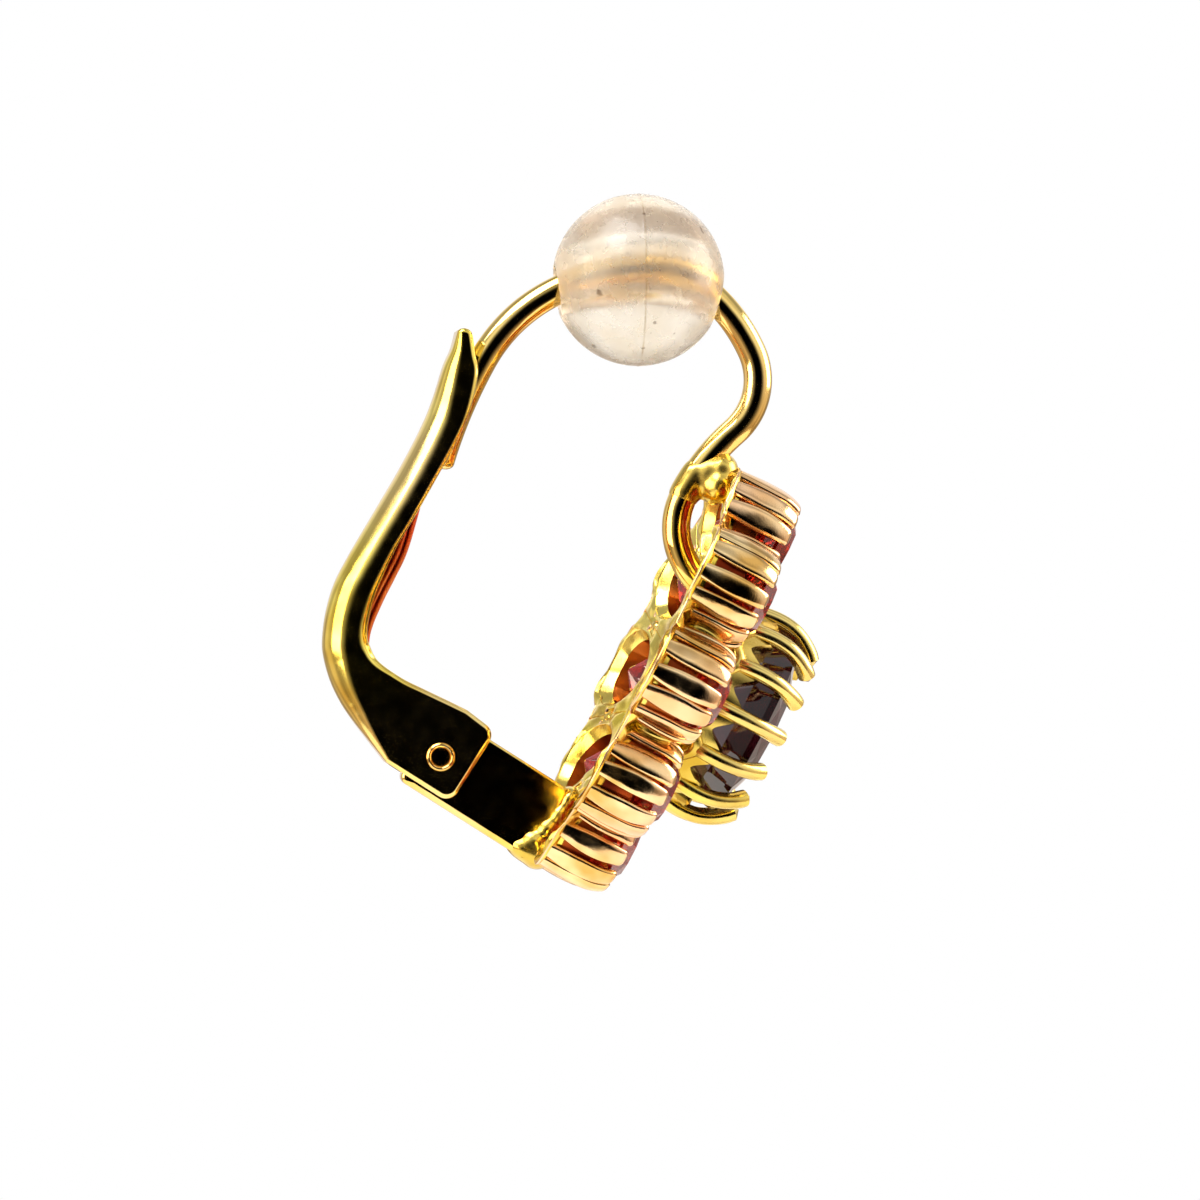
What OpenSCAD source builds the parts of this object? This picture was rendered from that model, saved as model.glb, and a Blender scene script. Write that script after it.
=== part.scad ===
// Leverback earring with a garnet cluster, hanging from a clear bead on its ear wire.
// Millimetres. The origin is the crest of the ear wire, +Z is up, and the cluster faces +X and a little down.
// The earring's plane of symmetry is y = 0.

/* [Ear wire] */
// Diameter of the round ear wire
wire_d = 1; // [0.8:0.01:1.1]
// Bend radius of the wire just behind its crest
wire_crest_r = 7.7; // [7.3:0.05:8.1]
// Bend radius of the wire where it goes down to the lever
wire_rear_r = 5.8; // [5.5:0.05:6.1]
// Bend radius of the wire's end in the lever's channel
wire_end_r = 18; // [16:0.1:20]
// Bend radius of the wire in front of its crest
wire_front_r = 3.55; // [3.4:0.01:3.7]
// Bend radius of the wire's front side
wire_side_r = 6; // [5.8:0.05:6.2]
// Bend radius of the hook under the front side
wire_hook_r = 2.4; // [2.3:0.01:2.5]
// Bend radius of the wire as it turns back to the cluster
wire_turn_r = 7.9; // [7.5:0.05:8.3]
// Bend radius of the C-shaped foot behind the top collets
wire_foot_r = 2.55; // [2.45:0.01:2.65]

/* [Clear bead] */
// Diameter of the clear bead
bead_d = 6; // [5.6:0.01:6.4]
// Diameter of the bead's hole, which follows the bent wire
bead_bore_d = 1.78; // [1.4:0.01:2]

/* [Cluster] */
// Angle by which the cluster's front looks down as the earring hangs
cluster_tilt = 27.3; // [25:0.1:29]
// Number of collets in the ring
collet_count = 10; // [8:2:10]
// Radius of the circle of collet centres
ring_r = 6.17; // [6.1:0.01:6.4]
// Outer diameter of a collet
collet_d = 3.76; // [3.6:0.01:3.8]
// Height of a collet from its back rim to its prong tips
collet_h = 2.6; // [2.4:0.01:2.9]
// Inner radius of a collet at its back
collet_bore_r = 1.5; // [1.4:0.01:1.55]
// Height of a collet's whole rim below the slots
collet_rim_h = 0.35; // [0.2:0.01:0.6]
// Number of prongs around a collet, two for each sawn slot
prong_count = 12; // [8:4:16]
// Width of the slots between the prongs
slot_w = 0.33; // [0.2:0.01:0.4]
// Depth of the hollow that is cut into the back of the ring
dish_depth = 2.5; // [2:0.01:2.8]

/* [Centre setting] */
// Number of round claws
claw_count = 14; // [10:1:16]
// Diameter of a claw's wire
claw_d = 0.5; // [0.4:0.01:0.55]
// Radius of the circle of claw centres at the gallery
claw_base_r = 3.4; // [3.3:0.01:3.5]
// Height of the claw tips above the back of the ring
claw_tip_z = 5.55; // [5.4:0.01:5.8]
// Outer radius of the gallery ring
gallery_r = 4.05; // [3.95:0.01:4.15]
// Wall of the gallery ring
gallery_wall = 0.5; // [0.35:0.01:0.6]

/* [Stones] */
// Girdle diameter of the centre stone
centre_stone_d = 6.4; // [6.2:0.01:6.5]
// Girdle diameter of an outer stone
outer_stone_d = 2.9; // [2.7:0.01:2.96]
// Clearance between a stone and its metal
stone_gap = 0.03; // [0.02:0.01:0.05]

/* [Hinge] */
// Thickness of the hinge tongue
tongue_t = 1.2; // [1:0.01:1.4]
// Width of the hinge tongue
tongue_w = 2.88; // [2.7:0.01:3]
// Distance from the pivot to the cluster's back
tongue_reach = 4.55; // [4.3:0.01:4.8]
// Distance from the pivot to the tongue's free end
tongue_heel = 0.8; // [0.75:0.01:1]
// Angle of the tongue below the horizontal
tongue_slope = 32.5; // [31:0.1:34]
// Diameter of the rivet's shank
rivet_d = 0.9; // [0.8:0.01:1]
// Diameter of the rivet's rolled rim
rivet_rim_d = 1.1; // [1.05:0.01:1.3]
// Running clearance round the rivet
rivet_gap = 0.03; // [0.02:0.01:0.05]

/* [Lever] */
// Width of the lever across its channel
lever_w = 2.3; // [2.2:0.01:2.5]
// Running clearance between the tongue and each cheek
cheek_gap = 0.06; // [0.05:0.01:0.1]
// Thickness of the metal behind the channel
lever_back_t = 0.35; // [0.3:0.01:0.4]
// Depth of the lever's stem from its back to its open side
stem_depth = 1.25; // [1.2:0.01:1.35]
// How far the stem bows outwards above the elbow
stem_bow = 0.9; // [0.8:0.01:1]
// Width of a cheek across its free end
cheek_h = 3; // [2.9:0.01:3.1]
// Thickness of the leaf spring
spring_t = 0.6; // [0.4:0.01:0.65]

/* [Hidden] */
$fn = 48;
GOLD = "goldenrod";
GARNET = "darkred";
// Cut-through margin, so that no cutter ends on the face that it cuts
over = 0.2;

// Wire bends, in order from the crest. Columns: bend radius, turn in degrees (positive is anticlockwise
// when seen from -Y).
REAR_BENDS = [
    [wire_crest_r, 19.4],
    [wire_rear_r, 41.5],
    [wire_end_r, 13.1]
];
FRONT_BENDS = [
    [wire_front_r, -46],
    [wire_side_r, -19.3],
    [wire_hook_r, -73.6],
    [wire_turn_r, 20],
    [wire_foot_r, 80]
];

// A pose is [x, z, heading]. One bend carries it on by its radius and its turn.
function bend_centre(pose, bend) =
    let (side = sign(bend[1]))
    [pose[0] - side * bend[0] * sin(pose[2]), pose[1] + side * bend[0] * cos(pose[2])];
function bent(pose, bend) =
    let (side = sign(bend[1]), c = bend_centre(pose, bend), h = pose[2] + bend[1])
    [c[0] + side * bend[0] * sin(h), c[1] - side * bend[0] * cos(h), h];
function pose_after(pose, bends, count) =
    count == 0 ? pose : bent(pose_after(pose, bends, count - 1), bends[count - 1]);

REAR_START = [0, 0, 180];
FRONT_START = [0, 0, 0];
wire_foot_end = pose_after(FRONT_START, FRONT_BENDS, 5);

// The cluster's own frame: +Z looks out of its front, +X runs down its back, and z = 0 is the back rim.
front = [cos(cluster_tilt), -sin(cluster_tilt)];
down = [-sin(cluster_tilt), -cos(cluster_tilt)];
// The wire's foot ends in the gallery ring at the top of the cluster.
gallery_z = 0.95;
gallery_h = 1.85;
foot_seat_r = gallery_r - 0.42;
claw_base_z = 2.2;
// Top of the cup between the claws, in which the centre stone sits
cup_z = claw_base_z + 0.48 * (claw_tip_z - claw_base_z);
// The hollow back is a shallow cone: the radius at which it starts, and its height at the radius r
dish_r = ring_r + 0.395 * collet_d;
function dish_z(r) = dish_depth * (dish_r - r) / dish_r;
// The plate that follows the hollow back and joins the collets: its outer radius and its thickness
plate_r = ring_r + 0.31 * collet_d;
plate_t = 0.55;
claw_steps = 7;
// How far a claw bulges outwards on its way up, and how far its tip curls in over the stone
claw_bulge = 0.4;
claw_curl = 0.75;
// Width of a solder joint, and how far it runs into the metal at each end
solder_d = 0.62;
solder_bite = 0.2;
// Heights of the stones above and below their girdles, and the places of the girdles
centre_crown_h = 0.1 * centre_stone_d;
centre_pavilion_h = 0.34 * centre_stone_d;
centre_girdle_z = claw_tip_z - 0.13 * centre_stone_d;
// The share of its girdle's width that each stone keeps four tenths of the way down its pavilion
centre_belly = 0.93;
outer_belly = 0.8;
outer_crown_h = 0.19 * outer_stone_d;
outer_pavilion_h = 0.6 * outer_stone_d;
outer_girdle_z = collet_h - 0.12 * outer_stone_d;
foot_end = [wire_foot_end[0], wire_foot_end[1]];
cluster_pos = foot_end + foot_seat_r * down - gallery_z * front;

// The tongue's own frame: t runs from the pivot to the cluster, n is across it, upwards.
tongue_t_dir = [cos(tongue_slope), -sin(tongue_slope)];
tongue_n_dir = [sin(tongue_slope), cos(tongue_slope)];
tongue_drop = 0.15;
// Gap between the tongue's soldered end and the cluster, so that each stays a solid of its own
hairline = 0.12;
tongue_foot = cluster_pos + (ring_r + tongue_drop) * down;
pivot = tongue_foot - tongue_reach * tongue_t_dir;
function arm(a, b) = pivot + a * tongue_t_dir + b * tongue_n_dir;

// Frame of the wire's end in the channel: distance back from the end, and offset to the outer side.
tail_len = wire_end_r * REAR_BENDS[2][1] * PI / 180;
rear_len = wire_rear_r * REAR_BENDS[1][1] * PI / 180;
function tail_pose(s) =
    s <= tail_len
    ? bent(pose_after(REAR_START, REAR_BENDS, 2), [wire_end_r, REAR_BENDS[2][1] * (1 - s / tail_len)])
    : let (share = 1 - (s - tail_len) / rear_len)
    bent(pose_after(REAR_START, REAR_BENDS, 1), [wire_rear_r, REAR_BENDS[1][1] * share]);
function tail(s, out) =
    let (p = tail_pose(s))
    [p[0] + out * sin(p[2]), p[1] - out * cos(p[2])];

channel_w = tongue_t + 2 * cheek_gap;
channel_gap = 0.12;
wire_seat = wire_d / 2 + channel_gap + lever_back_t;
cheek_low = -1.18;
cheek_end = 1.16;
heel_r = norm([tongue_heel, tongue_w / 2]);

// The stem's straight chord, from the elbow's back to the back of the wire's end
stem_foot = arm(-1.88 * tongue_w, 0.33 * tongue_w);
stem_head = tail(0, wire_seat);
stem_dir = (stem_head - stem_foot) / norm(stem_head - stem_foot);
stem_out = [-stem_dir[1], stem_dir[0]];
function stem(share, out) = stem_foot + share * (stem_head - stem_foot) + out * stem_out;

// The lever's stations from its tip to its cheeks. Columns: point on the back, point on the open side.
STATIONS = [
    [tail(1.08 * tail_len, 1.36 * wire_seat), tail(1.1 * tail_len, 0.78 * wire_seat)],
    [tail(0.95 * tail_len, 1.2 * wire_seat), tail(0.99 * tail_len, 0.62 * wire_seat)],
    [tail(0.8 * tail_len, 1.17 * wire_seat), tail(0.86 * tail_len, -0.04 * wire_seat)],
    [tail(0.51 * tail_len, 1.03 * wire_seat), tail(0.54 * tail_len, -0.34 * wire_seat)],
    [tail(0.26 * tail_len, 1.05 * wire_seat), tail(0.27 * tail_len, -0.3 * wire_seat)],
    [stem(0.94, 0.29 * stem_bow), stem(0.96, -0.8 * stem_depth)],
    [stem(0.74, 0.44 * stem_bow), stem(0.76, -0.69 * stem_depth)],
    [stem(0.56, 0.57 * stem_bow), stem(0.6, -0.62 * stem_depth)],
    [stem(0.44, 0.66 * stem_bow), stem(0.45, -0.63 * stem_depth)],
    [stem(0.31, 0.67 * stem_bow), stem(0.33, -0.67 * stem_depth)],
    [stem(0.17, 0.5 * stem_bow), stem(0.22, -0.8 * stem_depth)],
    [arm(-1.94 * tongue_w, 0.43 * tongue_w), arm(-1.52 * tongue_w, 0.76 * tongue_w)],
    [arm(-1.8 * tongue_w, 0.24 * tongue_w), arm(-1.43 * tongue_w, 0.67 * tongue_w)],
    [arm(-1.59 * tongue_w, 0.06 * tongue_w), arm(-1.24 * tongue_w, 0.57 * tongue_w)],
    [arm(-1.36 * tongue_w, -0.09 * tongue_w), arm(-0.9 * tongue_w, 0.55 * tongue_w)],
    [arm(-1.12 * tongue_w, -0.19 * tongue_w), arm(-0.61 * tongue_w, 0.58 * tongue_w)],
    [arm(-0.86 * tongue_w, -0.28 * tongue_w), arm(-0.3 * tongue_w, 0.61 * tongue_w)],
    [arm(-0.5 * tongue_w, cheek_low + 0.01), arm(-0.03 * tongue_w, 0.64 * tongue_w)]
];
// Depth of the rounding on the lever's back, and its steps
back_round = 0.7;
round_steps = 8;
// The station at which the channel starts, and how far its cut runs along the tongue
channel_start = 1;
past_end = 3;
// Gap between the leaf spring and each wall of the channel
spring_gap = 0.04;

// The bead's middle, and the number of wire points behind the crest that its hole follows
bead_pos = [-0.28, -0.286];
bead_rear_points = 8;

module in_cluster() {
    translate([cluster_pos[0], 0, cluster_pos[1]]) rotate([0, 90 + cluster_tilt, 0]) children();
}

// Places a drawing of the picture plane: its y becomes z, and it is w thick about y = 0.
module plate(w) {
    rotate([90, 0, 0]) linear_extrude(w, center = true) children();
}

module around_ring() {
    for (k = [0 : collet_count - 1]) rotate([0, 0, 360 / collet_count * (k + 0.5)]) children();
}

// Points along a row of bends, five steps to each, from the pose at which they start
function bend_points(start, bends) = [
    for (i = [0 : len(bends) - 1], k = [1 : 5])
        let (p = bent(pose_after(start, bends, i), [bends[i][0], bends[i][1] * k / 5]))
        [p[0], p[1]]
];

// The whole wire from its end in the lever, over the crest, to the end of its foot
module ear_wire() {
    rear = bend_points(REAR_START, REAR_BENDS);
    fore = bend_points(FRONT_START, FRONT_BENDS);
    line = concat([for (i = [len(rear) - 1 : -1 : 0]) rear[i]], [[0, 0]], fore);
    tube(line, wire_d, 12, 1);
}

// One collet's tube about its own axis, with the seat for its stone
module collet_tube() {
    r = collet_d / 2;
    seat_r = (outer_stone_d / 2 + stone_gap) / cos(180 / prong_count);
    rotate_extrude($fn = prong_count) polygon([
        [collet_bore_r, 0],
        [r - 0.06, 0],
        [r, collet_h * 0.5],
        [r - 0.2, collet_h],
        [seat_r - 0.06, collet_h],
        [seat_r, collet_h - 0.45],
        [collet_bore_r - 0.1, collet_h - 0.75]
    ]);
}

// The saw cuts that part a collet's prongs, open to the front
module collet_slots() {
    for (i = [0 : prong_count / 2 - 1])
        rotate([0, 0, 360 / prong_count * (i + 0.5)])
            translate([0, 0, collet_h / 2 + over])
                cube([collet_d + over, slot_w, collet_h + 2 * over], center = true);
}

// A rounded joint of solder from one point to another
module solder_joint(from, to, d) {
    hull() {
        translate(from) sphere(d = d, $fn = 6);
        translate(to) sphere(d = d, $fn = 6);
    }
}

// Solder between neighbouring collets
module solder() {
    spacing_r = ring_r * cos(180 / collet_count);
    half_gap = ring_r * sin(180 / collet_count) - collet_d / 2;
    reach = half_gap + solder_bite;
    z = 0.53 * collet_h;
    for (k = [0 : collet_count - 1])
        rotate([0, 0, 360 / collet_count * k])
            solder_joint([spacing_r, -reach, z], [spacing_r, reach, z], solder_d);
}

// The plate that lies along the hollow back
module back_plate() {
    inner_r = gallery_r - solder_bite;
    lift = 0.05;
    difference() {
        rotate_extrude($fn = 40) polygon([
            [inner_r, dish_z(inner_r) + lift],
            [plate_r, dish_z(plate_r) + lift],
            [plate_r, dish_z(plate_r) + lift + plate_t],
            [inner_r, dish_z(inner_r) + lift + plate_t]
        ]);
        around_ring()
            translate([ring_r, 0, -over])
                cylinder(r = collet_bore_r + 0.1, h = collet_h, $fn = prong_count);
    }
}

// The hollow in the back of the ring: everything behind a shallow cone, shifted forwards by rise
module dish(rise) {
    translate([0, 0, rise - collet_h])
        cylinder(r = ring_r + collet_d, h = collet_h, $fn = 30);
    translate([0, 0, rise - 0.01])
        cylinder(r1 = dish_r, r2 = 0.1, h = dish_depth, $fn = 30);
}

// A round tube along a line in the plane y = 0, as rings of sides points, closed at both ends.
// The last ring is drawn in to the share tip of the others.
module tube(line, d, sides, tip) {
    last = len(line) - 1;
    points = [
        for (i = [0 : last])
            let (
                q = line[min(i + 1, last)] - line[max(i - 1, 0)],
                u = q / norm(q),
                r = (i == last ? tip : 1) * d / 2
            )
            for (j = [0 : sides - 1])
                let (c = r * cos(360 * j / sides))
                [line[i][0] + c * u[1], r * sin(360 * j / sides), line[i][1] - c * u[0]]
    ];
    faces = concat(
        [[for (j = [0 : sides - 1]) j]],
        [[for (j = [sides - 1 : -1 : 0]) last * sides + j]],
        [
            for (i = [0 : last - 1], j = [0 : sides - 1])
                let (k = (j + 1) % sides)
                [i * sides + k, i * sides + j, (i + 1) * sides + j, (i + 1) * sides + k]
        ]
    );
    polyhedron(points, faces, convexity = 6);
}

function claw_point(share) =
    let (lean = claw_bulge * sin(150 * share), curl = claw_curl * pow(share, 5))
    [claw_base_r + lean - curl, claw_base_z + (claw_tip_z - claw_base_z) * share];

module gallery() {
    rotate_extrude($fn = 42) polygon([
        [gallery_r - gallery_wall, gallery_z],
        [gallery_r, gallery_z],
        [gallery_r, gallery_z + gallery_h - 0.3],
        [claw_base_r + 0.2, gallery_z + gallery_h],
        [claw_base_r + 0.2, cup_z],
        [claw_base_r - 0.1, cup_z],
        [claw_base_r - 0.1, gallery_z + gallery_h - 0.2]
    ]);
    for (i = [0 : claw_count - 1]) rotate([0, 0, 360 / claw_count * (i + 0.5)])
            tube([for (k = [0 : claw_steps]) claw_point(k / claw_steps)], claw_d, 6, 0.55);
}

module cluster() {
    difference() {
        around_ring() translate([ring_r, 0, 0]) collet_tube();
        dish(0);
        difference() {
            around_ring() translate([ring_r, 0, 0]) collet_slots();
            dish(collet_rim_h);
        }
    }
    solder();
    back_plate();
    gallery();
}

module tongue_outline() {
    corner = 0.3;
    h = tongue_w / 2;
    end = tongue_reach - hairline;
    difference() {
        translate([-tongue_heel, -h]) square([end + tongue_heel, tongue_w]);
        for (side = [-1, 1])
            translate([-tongue_heel, side * h])
                difference() {
                    square(corner * 2, center = true);
                    translate([corner, -side * corner]) circle(corner);
                }
    }
}

module in_arm() {
    translate([pivot[0], 0, pivot[1]]) rotate([0, tongue_slope, 0]) children();
}

module hinge_tongue() {
    color(GOLD) in_arm() difference() {
        plate(tongue_t) tongue_outline();
        rotate([90, 0, 0]) cylinder(d = rivet_d + 2 * rivet_gap, h = tongue_t + over, center = true);
    }
}

module setting() {
    color(GOLD) {
        ear_wire();
        in_cluster() cluster();
    }
}

// A round brilliant about its girdle at z = 0: table, star facets, girdle, bellied pavilion and culet
module stone(d, crown_h, pavilion_h, belly) {
    thin = 0.02;
    color(GARNET) hull() {
        translate([0, 0, crown_h - thin]) linear_extrude(thin) circle(d = 0.58 * d, $fn = 8);
        translate([0, 0, 0.5 * crown_h]) rotate(22.5) linear_extrude(thin) circle(d = 0.85 * d, $fn = 8);
        linear_extrude(0.04 * d, center = true) circle(d = d, $fn = 16);
        translate([0, 0, -0.4 * pavilion_h]) linear_extrude(thin) circle(d = belly * d, $fn = 16);
        translate([0, 0, -0.78 * pavilion_h]) rotate(22.5) linear_extrude(thin) circle(d = 0.44 * d, $fn = 8);
        translate([0, 0, -pavilion_h]) linear_extrude(thin) circle(d = 0.05 * d, $fn = 8);
    }
}

module centre_stone() {
    in_cluster()
        translate([0, 0, centre_girdle_z])
            stone(centre_stone_d, centre_crown_h, centre_pavilion_h, centre_belly);
}

module outer_stone(k) {
    in_cluster()
        rotate([0, 0, 360 / collet_count * (k - 0.5)])
            translate([ring_r, 0, outer_girdle_z])
                stone(outer_stone_d, outer_crown_h, outer_pavilion_h, outer_belly);
}

// The lever's body without its channel: D-shaped sections with a rounded back, carried along the stations
module lever_blank() {
    w = lever_w / 2;
    count = round_steps + 3;
    points = [
        for (st = STATIONS)
            let (
                b = st[0],
                f = st[1],
                depth = norm(f - b),
                u = (f - b) / depth,
                rd = min(back_round, 0.6 * depth)
            )
            each concat(
                [for (i = [0 : round_steps])
                    let (a = 180 * i / round_steps, d = rd * (1 - sin(a)))
                    [b[0] + d * u[0], -w * cos(a), b[1] + d * u[1]]],
                [[f[0], w, f[1]], [f[0], -w, f[1]]]
            )
    ];
    last = len(STATIONS) - 1;
    faces = concat(
        [[for (j = [0 : count - 1]) j]],
        [[for (j = [count - 1 : -1 : 0]) last * count + j]],
        [
            for (i = [0 : last - 1], j = [0 : count - 1])
                let (k = (j + 1) % count)
                each [
                    [i * count + j, (i + 1) * count + k, i * count + k],
                    [i * count + j, (i + 1) * count + j, (i + 1) * count + k]
                ]
        ]
    );
    polyhedron(points, faces, convexity = 6);
}

module cheek_outline() {
    corner = 0.4;
    top = cheek_low + cheek_h + 0.12;
    hull() {
        translate([cheek_end - corner, cheek_low + corner]) circle(corner, $fn = 32);
        translate([cheek_end - corner, top - corner - 0.15]) circle(corner, $fn = 32);
        translate([-0.49 * tongue_w, cheek_low]) square([0.4, 0.1]);
        translate([-0.05 * tongue_w, 0.64 * tongue_w - 0.1]) square([0.1, 0.1]);
        translate([-0.6 * tongue_w, 0.2 * tongue_w]) square([0.1, 0.8]);
    }
}

function inner(i) =
    let (st = STATIONS[i], u = (st[1] - st[0]) / norm(st[1] - st[0]))
    st[0] + lever_back_t * u;
function beyond(i) =
    let (st = STATIONS[i], u = (st[1] - st[0]) / norm(st[1] - st[0]))
    st[1] + 0.6 * u;

module channel_outline() {
    last = len(STATIONS) - 1;
    polygon(concat(
        [for (i = [channel_start : last]) inner(i)],
        [arm(past_end, -0.6 * tongue_w), arm(past_end, tongue_w)],
        [for (i = [last : -1 : channel_start]) beyond(i)]
    ));
}

module lever() {
    color(GOLD) difference() {
        union() {
            lever_blank();
            in_arm() plate(lever_w) cheek_outline();
        }
        plate(channel_w) channel_outline();
        in_arm() plate(channel_w) translate([-0.3, -heel_r - 0.2]) square([past_end, 2 * heel_r]);
        in_arm() rotate([90, 0, 0]) {
            cylinder(r = heel_r + 0.12, h = channel_w, center = true);
            cylinder(d = rivet_d + 2 * rivet_gap, h = lever_w + over, center = true);
        }
    }
}

// The leaf spring's line: out of the channel under the wire's end, across the stem and down to the tongue's heel
SPRING = [
    stem(0.86, -0.48 * stem_depth),
    stem(0.77, -0.58 * stem_depth),
    stem(0.59, -0.74 * stem_depth),
    stem(0.46, -0.74 * stem_depth),
    stem(0.34, -0.72 * stem_depth),
    stem(0.2, -0.75 * stem_depth),
    arm(-1.53 * tongue_w, 0.66 * tongue_w),
    arm(-1.38 * tongue_w, 0.42 * tongue_w),
    arm(-1.1 * tongue_w, 0.2 * tongue_w),
    arm(-0.8 * tongue_w, 0)
];
function spring_normal(i) =
    let (last = len(SPRING) - 1, q = SPRING[min(i + 1, last)] - SPRING[max(i - 1, 0)], u = q / norm(q))
    [-u[1], u[0]];

module leaf_spring() {
    last = len(SPRING) - 1;
    color(GOLD) plate(channel_w - 2 * spring_gap) polygon(concat(
        [for (i = [0 : last]) SPRING[i] + spring_t / 2 * spring_normal(i)],
        [for (i = [last : -1 : 0]) SPRING[i] - spring_t / 2 * spring_normal(i)]
    ));
}

module pivot_rivet() {
    half = lever_w / 2 + 0.02;
    rim_t = 0.08;
    color(GOLD) in_arm() rotate([90, 0, 0]) difference() {
        union() {
            cylinder(d = rivet_d, h = 2 * (half + rim_t), center = true);
            for (side = [-1, 1])
                translate([0, 0, side * (half + rim_t / 2)]) cylinder(d = rivet_rim_d, h = rim_t, center = true);
        }
        for (side = [-1, 1])
            translate([0, 0, side * (half + rim_t)]) cylinder(d = rivet_rim_d - 0.4, h = 0.8, center = true);
    }
}

module clear_bead() {
    rear = bend_points(REAR_START, REAR_BENDS);
    fore = bend_points(FRONT_START, [FRONT_BENDS[0], FRONT_BENDS[1]]);
    line = concat([for (i = [bead_rear_points - 1 : -1 : 0]) rear[i]], [[0, 0]], fore);
    color("whitesmoke", 0.4) difference() {
        translate([bead_pos[0], 0, bead_pos[1]]) sphere(d = bead_d, $fn = 96);
        tube(line, bead_bore_d, 32, 1);
    }
}

setting();
hinge_tongue();
centre_stone();
outer_stone(1);  // outer_stone_01
outer_stone(2);  // outer_stone_02
outer_stone(3);  // outer_stone_03
outer_stone(4);  // outer_stone_04
outer_stone(5);  // outer_stone_05
outer_stone(6);  // outer_stone_06
outer_stone(7);  // outer_stone_07
outer_stone(8);  // outer_stone_08
outer_stone(9);  // outer_stone_09
outer_stone(10);  // outer_stone_10
lever();
leaf_spring();
pivot_rivet();
clear_bead();
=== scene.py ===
"""Looks of a leverback earring with a garnet cluster, hanging from a clear bead on its ear wire.

Lengths in the functions are millimetres in the part's frame; make_piece() turns them into metres.
"""

import math

import bpy
import numpy as np
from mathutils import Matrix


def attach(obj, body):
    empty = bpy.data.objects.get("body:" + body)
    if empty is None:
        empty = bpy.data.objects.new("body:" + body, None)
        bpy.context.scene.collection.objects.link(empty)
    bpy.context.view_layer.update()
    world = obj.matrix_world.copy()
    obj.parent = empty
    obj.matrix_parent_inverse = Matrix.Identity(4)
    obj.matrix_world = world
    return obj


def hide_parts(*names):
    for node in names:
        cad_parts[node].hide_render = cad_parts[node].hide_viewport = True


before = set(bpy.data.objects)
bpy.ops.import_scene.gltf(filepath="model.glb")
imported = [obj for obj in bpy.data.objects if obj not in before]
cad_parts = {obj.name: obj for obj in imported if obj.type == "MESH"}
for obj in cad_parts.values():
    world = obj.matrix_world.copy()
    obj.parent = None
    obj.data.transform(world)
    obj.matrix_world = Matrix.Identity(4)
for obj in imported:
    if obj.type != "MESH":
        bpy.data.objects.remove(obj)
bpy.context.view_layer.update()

MM = 0.001
# Sizes in millimetres: D is a diameter, R a radius, H and Z heights, W a width and HALF half a thickness
WIRE_D = 1.0
TILT = math.radians(27.3)
CLUSTER = np.array([-0.5145, -13.6976])
PIVOT = np.array([-7.251, -16.870])
SLOPE = math.radians(32.5)
ALONG = np.array([math.cos(SLOPE), -math.sin(SLOPE)])
ACROSS = np.array([math.sin(SLOPE), math.cos(SLOPE)])
COLLETS = 10
RING_R = 6.17
COLLET_R = 1.88
COLLET_H = 2.6
BORE_R = 1.5
PRONGS = 12
DISH_DEPTH = 2.45
DISH_R = 7.35
BACK_R = 7.05
CLAWS = 14
CLAW_R = 0.285
CLAW_FOOT_R = 3.4
CLAW_FOOT_Z = 2.05
CLAW_TIP_Z = 5.55
GALLERY_R = 4.05
CENTRE_STONE_D = 6.4
CENTRE_GIRDLE_Z = CLAW_TIP_Z - 0.832
RING_STONE_D = 2.9
RING_GIRDLE_Z = COLLET_H - 0.348
LEVER_HALF = 1.15
CHANNEL_HALF = 0.66
TONGUE_W = 2.88
TONGUE_HALF = 0.6
BEAD_AT = (-0.28, -0.286)
BEAD_R = 3.0
BEAD_HOLE = 0.89
FLOOR_Z = -38.0
CREASE = math.radians(38)


# Shapes

def around(count):
    """That many angles, evenly spaced round a full turn."""
    return np.linspace(0, 2 * math.pi, count, endpoint=False)


def polar(r, a, z):
    """Points at the radius r, the angle a and the height z about the Z axis."""
    r, a, z = np.broadcast_arrays(r, a, z)
    return np.stack([r * np.cos(a), r * np.sin(a), z], -1)


def grid_faces(rows, cols, close_rows=False):
    """Quads between neighbouring points of a grid that is stored row by row, each row a closed loop."""
    i = np.arange(rows if close_rows else rows - 1)
    i, j = (a.ravel() for a in np.meshgrid(i, np.arange(cols), indexing="ij"))
    i2, j2 = (i + 1) % rows, (j + 1) % cols
    return np.stack([i * cols + j, i * cols + j2, i2 * cols + j2, i2 * cols + j], 1)


def outward(verts, faces):
    """The faces of a closed shape, turned round when their signed volume is negative."""
    volume = 0.0
    for f in faces:
        for k in range(1, f.shape[1] - 1):
            a, b, c = verts[f[:, 0]], verts[f[:, k]], verts[f[:, k + 1]]
            volume += np.einsum("ij,ij->i", a, np.cross(b, c)).sum()
    return verts, [f[:, ::-1] for f in faces] if volume < 0 else list(faces)


def capped(verts, rows, cols):
    """A closed shape from rows of points, each row a closed loop, with its first and last rows filled in."""
    ends = [np.arange(cols)[None, ::-1], (rows - 1) * cols + np.arange(cols)[None]]
    return outward(verts, [grid_faces(rows, cols)] + ends)


def loops_along(line, u, v, section):
    """The section's loop at each point of the line, laid out along that point's own axes u and v."""
    loops = line[:, None] + section[None, :, :1] * u[:, None] + section[None, :, 1:] * v[:, None]
    return loops.reshape(-1, 3)


def swept(line, u, v, section):
    """A closed tube: the section's loops along the line, filled in at both ends."""
    return capped(loops_along(line, u, v, section), len(line), len(section))


def ring_section(count, power=2.0):
    """A unit circle of points, or with a higher power a rounder-cornered square of them."""
    a = around(count)
    c, s = np.cos(a), np.sin(a)
    return np.stack([np.sign(c) * np.abs(c) ** (2 / power), np.sign(s) * np.abs(s) ** (2 / power)], 1)


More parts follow.
